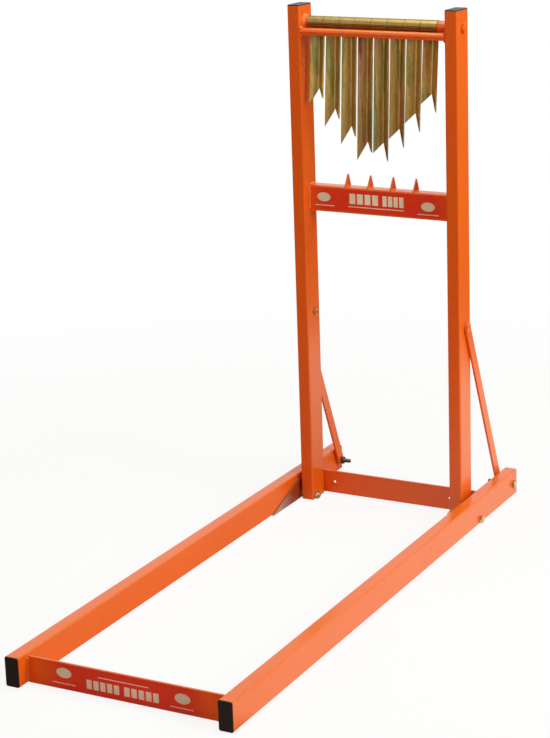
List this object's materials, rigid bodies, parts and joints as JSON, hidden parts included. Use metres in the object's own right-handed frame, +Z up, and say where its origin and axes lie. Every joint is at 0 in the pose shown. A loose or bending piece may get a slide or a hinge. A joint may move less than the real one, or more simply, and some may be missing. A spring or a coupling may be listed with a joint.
{
  "type": "log sawhorse",
  "caption": "Folding steel log sawhorse: a floor frame and a braced upright whose swinging forked teeth grip a log against a spiked cross tube.",
  "frame": {"origin": "on the ground, in the middle of the floor frame's length and width", "axes": "+X across to the right as seen from the front bar, +Y from the front bar to the rear bar and the upright, +Z up"},
  "size_m": [0.4206, 1.125, 0.967],
  "materials": {
    "orange_paint": "glossy orange powder coat",
    "yellow_zinc": "yellow zinc passivate with green and pink tints",
    "zinc_fasteners": "pale yellow zinc plating",
    "black_plastic": "moulded black plastic"
  },
  "bodies": {
    "base": {"rail_left": "orange_paint", "rail_right": "orange_paint", "front_bar": "orange_paint", "rear_bar": "orange_paint", "pivot_plate_left": "orange_paint", "pivot_plate_right": "orange_paint", "rail_cap_front_left": "black_plastic", "rail_cap_front_right": "black_plastic", "rail_cap_rear_left": "black_plastic", "rail_cap_rear_right": "black_plastic", "pivot_bolts": "zinc_fasteners", "pivot_nuts": "zinc_fasteners", "pivot_bushes": "zinc_fasteners", "stay_foot_bolts": "zinc_fasteners", "stay_foot_nuts": "zinc_fasteners", "stay_foot_spacers": "zinc_fasteners"},
    "upright": {"post_left": "orange_paint", "post_right": "orange_paint", "post_cap_left": "black_plastic", "post_cap_right": "black_plastic", "cross_tube": "orange_paint", "cross_spikes": "orange_paint", "stop_bar": "orange_paint", "tooth_axle": "orange_paint", "axle_collar_left": "orange_paint", "axle_collar_right": "orange_paint", "axle_bolts": "zinc_fasteners", "stay_top_bolts": "zinc_fasteners", "stay_top_nuts": "zinc_fasteners", "stay_top_washers": "zinc_fasteners"},
    "stay_left": {"stay_left": "orange_paint"},
    "stay_right": {"stay_right": "orange_paint"},
    "tooth_1": {"tooth_1": "yellow_zinc"},
    "tooth_2": {"tooth_2": "yellow_zinc"},
    "tooth_3": {"tooth_3": "yellow_zinc"},
    "tooth_4": {"tooth_4": "yellow_zinc"},
    "tooth_5": {"tooth_5": "yellow_zinc"},
    "tooth_6": {"tooth_6": "yellow_zinc"},
    "tooth_7": {"tooth_7": "yellow_zinc"},
    "tooth_8": {"tooth_8": "yellow_zinc"}
  },
  "joints": [
    {"name": "upright_fold", "type": "hinge", "parent": "base", "child": "upright", "pos_m": [0, 0.3805, 0.008], "axis": [1, 0, 0], "range_deg": [0, 86.8]},
    {"name": "stay_left_swing", "type": "hinge", "parent": "upright", "child": "stay_left", "pos_m": [-0.1742, 0.3955, 0.3785], "axis": [1, 0, 0], "range_deg": [-20.2, 0]},
    {"name": "stay_right_swing", "type": "hinge", "parent": "upright", "child": "stay_right", "pos_m": [0.1742, 0.3955, 0.3785], "axis": [1, 0, 0], "range_deg": [-20.2, 0]},
    {"name": "tooth_1_swing", "type": "hinge", "parent": "upright", "child": "tooth_1", "pos_m": [-0.12146, 0.3925, 0.933], "axis": [1, 0, 0], "range_deg": [-25.4, 120]},
    {"name": "tooth_2_swing", "type": "hinge", "parent": "upright", "child": "tooth_2", "pos_m": [-0.08859, 0.3925, 0.933], "axis": [1, 0, 0], "range_deg": [-26.8, 120]},
    {"name": "tooth_3_swing", "type": "hinge", "parent": "upright", "child": "tooth_3", "pos_m": [-0.05571, 0.3925, 0.933], "axis": [1, 0, 0], "range_deg": [-27.5, 120]},
    {"name": "tooth_4_swing", "type": "hinge", "parent": "upright", "child": "tooth_4", "pos_m": [-0.02284, 0.3925, 0.933], "axis": [1, 0, 0], "range_deg": [-28, 120]},
    {"name": "tooth_5_swing", "type": "hinge", "parent": "upright", "child": "tooth_5", "pos_m": [0.01004, 0.3925, 0.933], "axis": [1, 0, 0], "range_deg": [-28, 120]},
    {"name": "tooth_6_swing", "type": "hinge", "parent": "upright", "child": "tooth_6", "pos_m": [0.04291, 0.3925, 0.933], "axis": [1, 0, 0], "range_deg": [-27.5, 120]},
    {"name": "tooth_7_swing", "type": "hinge", "parent": "upright", "child": "tooth_7", "pos_m": [0.07579, 0.3925, 0.933], "axis": [1, 0, 0], "range_deg": [-26.8, 120]},
    {"name": "tooth_8_swing", "type": "hinge", "parent": "upright", "child": "tooth_8", "pos_m": [0.10866, 0.3925, 0.933], "axis": [1, 0, 0], "range_deg": [-25.4, 120]}
  ],
  "couplings": [
    {"joint": "stay_left_swing", "follows": "upright_fold", "ratio": -0.231},
    {"joint": "stay_right_swing", "follows": "upright_fold", "ratio": -0.231}
  ]
}
